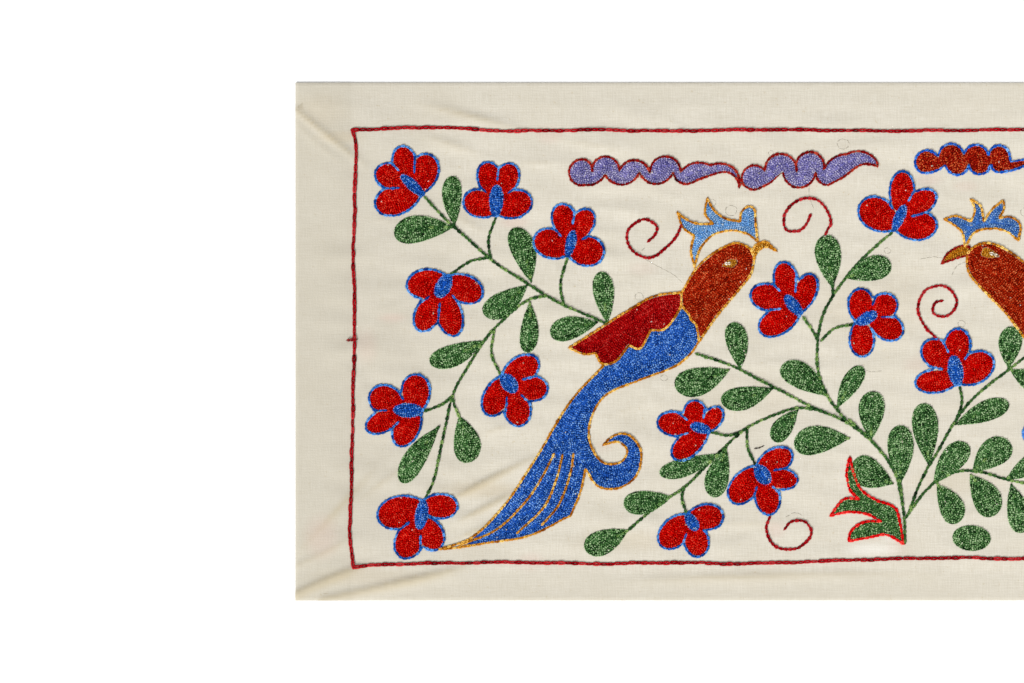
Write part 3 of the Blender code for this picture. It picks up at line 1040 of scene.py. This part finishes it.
# ---------------------------------------------------------------------------
# The tendrils
# Free spirals of the same crimson chain stitch as the border, finer and worked in one
# row from a leaf, a flower or a crest.
# ---------------------------------------------------------------------------
TENDRILS = [
    [(-172, 100), (-179, 86), (-198, 71), (-215, 79), (-218, 94), (-205, 104), (-194, 99),
     (-194, 92), (-201, 85)],
    [(-50, 90), (-45, 103), (-55, 119), (-71, 121), (-84, 110), (-83, 95), (-69, 96), (-62, 108)],
    [(-97, -148), (-100, -160), (-92, -174), (-74, -176), (-62, -165), (-66, -154), (-78, -153),
     (-85, -160)],
    [(48, 0), (35, 12), (29, 28), (36, 44), (53, 47), (62, 34), (54, 22), (42, 24), (43, 33),
     (50, 35)],
    [(130, 98), (135, 84), (153, 70), (170, 78), (174, 93), (161, 104), (149, 98), (155, 87)],
    [(240, 92), (247, 104), (238, 118), (220, 121), (208, 109), (212, 95), (224, 96), (229, 107)],
]
tendril_rows = [(smooth_line(line), False) for line in TENDRILS]
sew("tendrils", crimson,
    chain(tendril_rows, line_loop, LINE_PITCH, LINE_WIDE * 1.15, LINE_RELIEF))

# ---------------------------------------------------------------------------
# The clouds
# Long scalloped scrolls above the birds: two lavender ones edged in brick red, and a
# brick-red one edged in blue.
# ---------------------------------------------------------------------------


def scalloped(points, arc_step=14):
    """A closed outline of arcs. Each point has how far the arc that leaves it swells out."""
    line = []
    for (x0, y0, swell), (x1, y1, _) in zip(points, points[1:] + points[:1]):
        chord = math.hypot(x1 - x0, y1 - y0)
        if abs(swell) < 0.2:
            line.append((x0, y0))
            continue
        way = math.copysign(1.0, swell)
        radius = (chord * chord / 4 + swell * swell) / (2 * abs(swell))
        half = math.atan2(chord / 2, radius - abs(swell))
        back = way * (radius - abs(swell)) / chord
        cx, cy = (x0 + x1) / 2 + (y1 - y0) * back, (y0 + y1) / 2 - (x1 - x0) * back
        start = math.atan2(y0 - cy, x0 - cx)
        steps = max(int(math.degrees(2 * half) / arc_step), 2)
        for step in range(steps):
            angle = start - way * 2 * half * step / steps
            line.append((cx + radius * math.cos(angle), cy + radius * math.sin(angle)))
    return np.array(line)


CLOUDS = {
    "first": [(-254, 133, 13), (-256, 155, 3), (-248, 144, 13), (-225, 145, 10),
              (-199, 143, 14), (-173, 144, 5), (-148, 150, 1), (-135, 151, 5), (-123, 130, -5),
              (-139, 144, -1), (-166, 134, 4), (-179, 144, 10), (-208, 144, 10),
              (-237, 142, 3)],
    "second": [(-119, 133, 11), (-101, 145, 15), (-74, 144, 16), (-51, 146, 4), (-32, 159, 4),
               (-8, 156, 1), (-5, 148, -3), (-24, 148, 1), (-47, 133, 4), (-58, 144, 13),
               (-86, 144, 2), (-109, 129, 1)],
    "red": [(31, 144, 13), (46, 157, 10), (68, 159, 9), (89, 158, 7), (106, 161, 0),
            (108, 153, 0), (124, 156, 3), (146, 148, 1), (152, 138, -3), (136, 149, 0),
            (118, 149, 1), (100, 144, 3), (91, 151, 9), (72, 151, 9), (52, 150, 3)],
    "fourth": [(170, 134, -4), (160, 131, 4), (182, 150, 5), (206, 144, 12), (234, 142, 13),
               (262, 144, 12), (288, 146, 15), (290, 132, 5), (266, 142, 10), (238, 144, 10),
               (210, 143, 6)],
}
lavender = dyed_floss("lavender_floss", "#4a4890", "#8780b8", "#aaa2ce", "#d0cae2")
brick_edge = dyed_floss("brick_edge_floss", "#360206", "#7c080c", "#9a1612", "#bc4230")
brick = dyed_floss("brick_red_floss", "#420401", "#a2100a", "#c63012", "#e0703e")
blue_edge = dyed_floss("blue_edge_floss", "#06206e", "#0c48b4", "#2b74d4", "#82b2ec")
LINE_TAKES = 0.9
cloud_fills, cloud_edges = [], []
for name, points in CLOUDS.items():
    shape = scalloped(points)
    gx, gy = grid_over([shape])
    depth = depth_inside(gx, gy, shape)
    filled = fill(gx, gy, depth - LINE_TAKES, uneven=0.28)
    edge = chain([(shape, True)], line_loop, LINE_PITCH, LINE_WIDE, LINE_RELIEF)
    if name == "red":
        sew("red_cloud", brick, *filled)
        sew("red_cloud_outline", blue_edge, edge)
    else:
        cloud_fills += filled
        cloud_edges.append(edge)
sew("lavender_clouds", lavender, *cloud_fills)
sew("cloud_outlines", brick_edge, *cloud_edges)

# ---------------------------------------------------------------------------
# The birds
# Two crested birds face each other: brick-red neck and head, crimson wing, and a royal
# blue body that runs into a long tail with a curled plume. Gold thread edges every part.
# ---------------------------------------------------------------------------


def drawn(*runs):
    """A closed outline of smooth runs, with a corner where one run ends and the next starts."""
    line = []
    for run in runs:
        line.append(smooth_line(run)[:-1] if len(run) > 2 else np.array(run[:1], float))
    return np.vstack(line)


NECK = [
    [(-172, 42), (-161, 60), (-145, 75), (-126, 84), (-112, 76), (-113, 58), (-128, 38),
     (-142, 22), (-157, 0)],
    [(-157, 0), (-158, 8), (-160, 15)],
    [(-160, 15), (-164, 18), (-166, 23), (-172, 30)],
    [(-172, 30), (-172, 42)],
]
WING = [
    [(-172, 42), (-196, 38), (-217, 27), (-240, 12), (-268, -5)],
    [(-268, -5), (-255, -11), (-245, -10)],
    [(-245, -10), (-240, -19), (-228, -17), (-217, -3)],
    [(-217, -3), (-207, -6), (-198, 10)],
    [(-198, 10), (-188, 10), (-180, 17), (-172, 30)],
    [(-172, 30), (-172, 42)],
]
BODY = [
    [(-172, 42), (-205, 22), (-238, -20), (-262, -45), (-281, -74), (-300, -106), (-322, -138),
     (-348, -165), (-379, -177)],
    [(-379, -177), (-342, -172), (-302, -165), (-266, -148)],
    [(-266, -148), (-258, -128), (-254, -108)],
    [(-254, -108), (-243, -123), (-224, -124), (-209, -112), (-207, -92), (-218, -79),
     (-230, -80), (-239, -88)],
    [(-239, -88), (-226, -85), (-218, -93), (-225, -103), (-240, -102), (-250, -86),
     (-249, -66), (-236, -45), (-208, -33), (-180, -22), (-165, -11), (-157, 0)],
    [(-157, 0), (-158, 8), (-160, 15)],
    [(-160, 15), (-164, 18), (-166, 23), (-172, 30)],
    [(-172, 30), (-172, 42)],
]
FEATHERS = [
    [(-280, -95), (-290, -114), (-306, -138), (-330, -160), (-360, -173)],
    [(-273, -96), (-278, -116), (-290, -142), (-312, -163)],
    [(-264, -95), (-267, -114), (-276, -138), (-291, -156)],
]
CREST = [
    [(-176, 110), (-168, 104), (-158, 100), (-145, 100)],
    [(-145, 100), (-152, 109), (-150, 122)],
    [(-150, 122), (-144, 111), (-134, 104), (-122, 102)],
    [(-122, 102), (-121, 110), (-115, 115), (-110, 112), (-109, 100), (-107, 85)],
    [(-107, 85), (-115, 91), (-126, 94), (-139, 93), (-149, 88), (-157, 78), (-161, 63)],
    [(-161, 63), (-164, 77), (-161, 90)],
    [(-161, 90), (-171, 97), (-176, 110)],
]
BEAK = [
    [(-113, 76), (-108, 83), (-100, 85), (-91, 77)],
    [(-91, 77), (-99, 80), (-105, 78), (-110, 72)],
    [(-110, 72), (-113, 76)],
]
EYE = [[(-139, 64), (-131, 70), (-124, 69)], [(-124, 69), (-128, 63), (-139, 64)]]
EYE_WHITE = [(-135, 66), (-130, 67)]
RIGHT_CREST = [
    [(51, 104), (61, 107), (74, 102)],
    [(74, 102), (77, 112), (73, 121)],
    [(73, 121), (82, 115), (85, 102)],
    [(85, 102), (92, 112), (101, 120)],
    [(101, 120), (102, 113), (98, 105)],
    [(98, 105), (108, 106), (116, 99), (114, 86)],
    [(114, 86), (103, 94), (90, 96), (77, 93), (69, 80)],
    [(69, 80), (66, 94), (51, 104)],
]
RIGHT_BEAK = [
    [(73, 74), (62, 71), (49, 66)],
    [(49, 66), (54, 75), (64, 81), (73, 81)],
    [(73, 81), (73, 74)],
]
RIGHT_EYE = [[(82, 73), (85, 80), (92, 78), (99, 72)], [(99, 72), (90, 71), (82, 73)]]
RIGHT_EYE_WHITE = [(90, 75), (97, 73)]
# The right-hand bird is drawn the other way round, and a little longer.
BIRD_LONGER, BIRD_OVER = 1.115, -53

neck_brick = dyed_floss("neck_brick_floss", "#420602", "#a61c08", "#c8380f", "#de7848")
wing_crimson = dyed_floss("wing_crimson_floss", "#480004", "#a60608", "#c41012", "#d64a42")
royal_blue = dyed_floss("royal_blue_floss", "#081951", "#205abc", "#4885da", "#8fbcee")
grey_blue = dyed_floss("grey_blue_floss", "#1c4696", "#4274bc", "#6c9ad0", "#a4c2e4")
crest_blue = dyed_floss("sky_blue_floss", "#3c74b8", "#6ea4d8", "#9ac4ec", "#d4e4f4")
gold = dyed_floss("gold_silk_floss", "#7c3c06", "#be7616", "#da9a2c", "#eec86c")
pale_silk = dyed_floss("undyed_silk_floss", "#a89a7e", "#e2d8c2", "#f4eee0", "#fffdf6")


def mirrored(runs):
    """A part of the left-hand bird as the right-hand one has it."""
    return [[(BIRD_OVER - BIRD_LONGER * x, y) for x, y in run] for run in runs]


def uncovered(line, cover):
    """The rest of a line from where it comes out from under an outline."""
    covered = np.nonzero(depth_inside(line[:, 0], line[:, 1], cover) > 0.3)[0]
    return line[covered[-1] + 1:]


def open_rows(runs):
    """The runs of an outline as rows of stitches, so that its corners stay sharp."""
    return [(smooth_line(run), False) for run in runs]


GOLD_WIDE = 2.0
for side, change in (("left", list), ("right", mirrored)):
    neck, wing, body = (drawn(*change(part)) for part in (NECK, WING, BODY))
    feathers = [smooth_line(line) for line in change(FEATHERS)]
    gx, gy = grid_over([neck, wing, body])
    neck_depth, wing_depth, body_depth = (depth_inside(gx, gy, p) for p in (neck, wing, body))
    quill = np.min([distance_to(gx, gy, line) for line in feathers], 0)
    eye, white = (EYE, EYE_WHITE) if side == "left" else (RIGHT_EYE, RIGHT_EYE_WHITE)
    eye_depth = depth_inside(gx, gy, drawn(*eye))
    gold_rows = open_rows(change(NECK) + change(WING)[:5] + change(BODY)[1:5])
    gold_rows.append((uncovered(smooth_line(change(BODY)[0]), wing), False))
    gold_rows += [(line, False) for line in feathers]
    sew(f"{side}_bird_neck", neck_brick,
        *fill(gx, gy, np.minimum(neck_depth - LINE_TAKES, -eye_depth), uneven=0.25))
    sew(f"{side}_bird_wing", wing_crimson, *fill(gx, gy, wing_depth - LINE_TAKES))
    blue = np.min([body_depth, -neck_depth, -wing_depth, quill], 0) - LINE_TAKES
    sew(f"{side}_bird_body", royal_blue, *fill(gx, gy, blue, uneven=0.25))
    sew(f"{side}_bird_eye", pale_silk, chain([(white, False)], fill_loop, 3.0, 3.0, 1.5))
    edges = fill(gx, gy, eye_depth)
    crest, beak = (CREST, BEAK) if side == "left" else (RIGHT_CREST, RIGHT_BEAK)
    crest_shape, beak_shape = drawn(*crest), drawn(*beak)
    gx, gy = grid_over([crest_shape])
    crest_parts = fill(gx, gy, depth_inside(gx, gy, crest_shape) - LINE_TAKES)
    gx, gy = grid_over([beak_shape])
    edges += fill(gx, gy, depth_inside(gx, gy, beak_shape) - 0.4)
    beak_rows = open_rows(beak)
    if side == "right":
        sew("right_bird_beak_outline", brick_edge,
            chain(beak_rows, line_loop, LINE_PITCH, GOLD_WIDE, LINE_RELIEF))
        beak_rows = []
    gold_rows += open_rows(crest) + beak_rows
    edges.append(chain(gold_rows, line_loop, LINE_PITCH, GOLD_WIDE, LINE_RELIEF, uneven=0.28))
    sew(f"{side}_bird_crest", crest_blue if side == "left" else grey_blue, *crest_parts)
    sew(f"{side}_bird_gold", gold, *edges)

# ---------------------------------------------------------------------------
# The root sprig
# Three curved tongues of green at the foot of the plant, edged with a stout line of
# bright red.
# ---------------------------------------------------------------------------
SPRIG = [
    [(17, -172), (14, -156), (9, -141), (-6, -135), (-19, -126), (-26, -112), (-29, -98)],
    [(-29, -98), (-32, -112), (-29, -126), (-21, -134)],
    [(-21, -134), (-34, -134), (-46, -148)],
    [(-46, -148), (-30, -145), (-14, -147), (-2, -153)],
    [(-2, -153), (-16, -153), (-27, -160), (-30, -170)],
    [(-30, -170), (-14, -167), (2, -164), (17, -172)],
]
sprig_shape = drawn(*SPRIG)
gx, gy = grid_over([sprig_shape])
depth = depth_inside(gx, gy, sprig_shape)
sew("root_sprig", leaf_green, *fill(gx, gy, depth - LINE_TAKES, uneven=0.3))
scarlet = dyed_floss("scarlet_floss", "#860204", "#d0060c", "#e61016", "#f04a42")
sew("root_sprig_outline", scarlet,
    chain(open_rows(SPRIG), line_loop, LINE_PITCH * 1.15, LINE_WIDE * 1.15, LINE_RELIEF))

# ---------------------------------------------------------------------------
# Worn stitches, a knot and the hem's stitches
# Single stitches have lost their dye, one border thread was tied off where it ran out,
# and slip stitches in cotton hold the hem on the back.
# ---------------------------------------------------------------------------
sew("worn_stitches", pale_silk,
    chain(worn_rows, fill_loop, 1.8, FILL_WIDE * 0.5, FILL_RELIEF * 1.25))
sew("border_knot", crimson,
    chain([([(-456.5, 1), (-448, 2)], False)], fill_loop, 2.8, 2.6, BORDER_RELIEF * 1.5))
SLIP_STITCH = [(0.0, -1.0, 0.0), (0.2, 0.0, 0.0), (0.4, 1.0, 0.0)]
slip_stitch = loop_of(strand(SLIP_STITCH, 0.5, 0.3, 3, back=True))
inner_x, inner_y = HALF_LENGTH - END_HEM + 2, HALF_WIDTH - SIDE_HEM + 2
hem_rows = [([(-inner_x, y), (inner_x, y)], False) for y in (-inner_y, inner_y)]
hem_rows += [([(x, -inner_y), (x, inner_y)], False) for x in (-inner_x, inner_x)]
sew("hem_stitches", pale_silk, chain(hem_rows, slip_stitch, 9.0, 1.6, 0.5))

dark_thread = dyed_floss("dark_thread_end", "#1c1513", "#332a26", "#4c413a", "#74685c")
sew("loose_thread", dark_thread,
    chain([([(-110, -91), (-106, -90.5), (-102, -88.5)], False)], fill_loop, 3.0, 1.1, 0.7))

# ---------------------------------------------------------------------------
# The drawn pattern
# What is left of the lines that the pattern was drawn with: small circles and strokes of
# pencil that no thread covers.
# ---------------------------------------------------------------------------
PENCIL_CIRCLES = [
    (-187, -31, 3.2), (-208, 38, 3.6), (-130, 111, 5), (-35, 168, 5), (3, 77, 3), (-391, -42, 4),
    (-146, 118, 3), (120, 110, 4), (66, 15, 3), (190, -30, 3.2), (214, 40, 3.6), (330, -90, 4),
    (-96, 160, 2.5), (-262, -62, 3),
]
PENCIL_STROKES = [
    [(-203, 80), (-207, 74), (-196, 66), (-180, 57), (-172, 50)],
    [(-411, -40), (-404, -37), (-398, -42), (-404, -46), (-390, -44)],
    [(58, 56), (62, 64), (70, 68)],
    [(-404, -128), (-398, -134), (-396, -141)],
    [(-60, 112), (-64, 126), (-61, 140)],
    [(-20, -22), (-12, -26), (-2, -25)],
    [(-84, -150), (-76, -146), (-70, -148)],
    [(30, 70), (42, 72), (52, 70)],
    [(205, 78), (196, 66), (180, 56)],
]
STROKE = [(-0.06, 0.0, 0.0), (0.3, 0.0, 0.5), (0.7, 0.0, 0.5), (1.06, 0.0, 0.0)]
stroke = loop_of(strand(STROKE, 1.0, 0.5, 3))
pencil_rows = [(smooth_line(line), False) for line in PENCIL_STROKES]
for x, y, radius in PENCIL_CIRCLES:
    turns = np.linspace(0, math.tau, 16, endpoint=False)
    circle = np.stack([x + radius * np.cos(turns), y + 0.9 * radius * np.sin(turns)], 1)
    pencil_rows.append((circle, True))
graphite = bpy.data.materials.new("faded_graphite")
graphite.use_nodes = True
graphite.node_tree.nodes["Principled BSDF"].inputs["Base Color"].default_value = srgb("#bfb8a8")
graphite.node_tree.nodes["Principled BSDF"].inputs["Roughness"].default_value = 0.9
sew("pencil_lines", graphite, chain(pencil_rows, stroke, 5.0, 0.9, 0.08))

# ---------------------------------------------------------------------------
# Floor, light and camera
# A plain white table, a wide soft light with a lower one from the left front that grazes
# the creases, and a camera straight above.
# ---------------------------------------------------------------------------
FLOOR_SIZE = 12.0
bpy.ops.mesh.primitive_plane_add(size=FLOOR_SIZE, location=(0, 0, -0.0002))
floor = bpy.context.object
floor.name = "floor"
white = bpy.data.materials.new("matt_white_laminate")
white.use_nodes = True
white.node_tree.nodes["Principled BSDF"].inputs["Base Color"].default_value = srgb("#f9f9f9")
white.node_tree.nodes["Principled BSDF"].inputs["Roughness"].default_value = 1.0
white.node_tree.nodes["Principled BSDF"].inputs["Specular IOR Level"].default_value = 0.0
floor.data.materials.append(white)


def soft_light(name, place, aim, size, power):
    """A square soft box at a place, facing a point."""
    lamp = bpy.data.lights.new(name, "AREA")
    lamp.shape = "SQUARE"
    lamp.size = size
    lamp.energy = power
    holder = bpy.data.objects.new(name, lamp)
    holder.location = place
    holder.rotation_euler = (Vector(aim) - Vector(place)).to_track_quat("-Z", "Y").to_euler()
    bpy.context.collection.objects.link(holder)


soft_light("grazing_light", (-13.0, -16.8, 11.6), (-0.2, 0, 0), 6.4, 7500)
soft_light("fill_light", (1.3, 0.6, 1.4), (0.1, 0, 0), 1.0, 9)
world = bpy.data.worlds.new("studio")
bpy.context.scene.world = world
world.use_nodes = True
world.node_tree.nodes["Background"].inputs["Color"].default_value = (1.0, 1.0, 1.0, 1.0)
world.node_tree.nodes["Background"].inputs["Strength"].default_value = 0.51
bpy.context.scene.view_settings.view_transform = "Standard"

VIEW_WIDTH = 0.8714
VIEW_MIDDLE = -0.3162
camera_data = bpy.data.cameras.new("camera")
camera_data.lens = 85
camera_data.sensor_width = 36
camera = bpy.data.objects.new("camera", camera_data)
camera.location = (VIEW_MIDDLE, 0, VIEW_WIDTH * camera_data.lens / camera_data.sensor_width)
bpy.context.collection.objects.link(camera)
bpy.context.scene.camera = camera
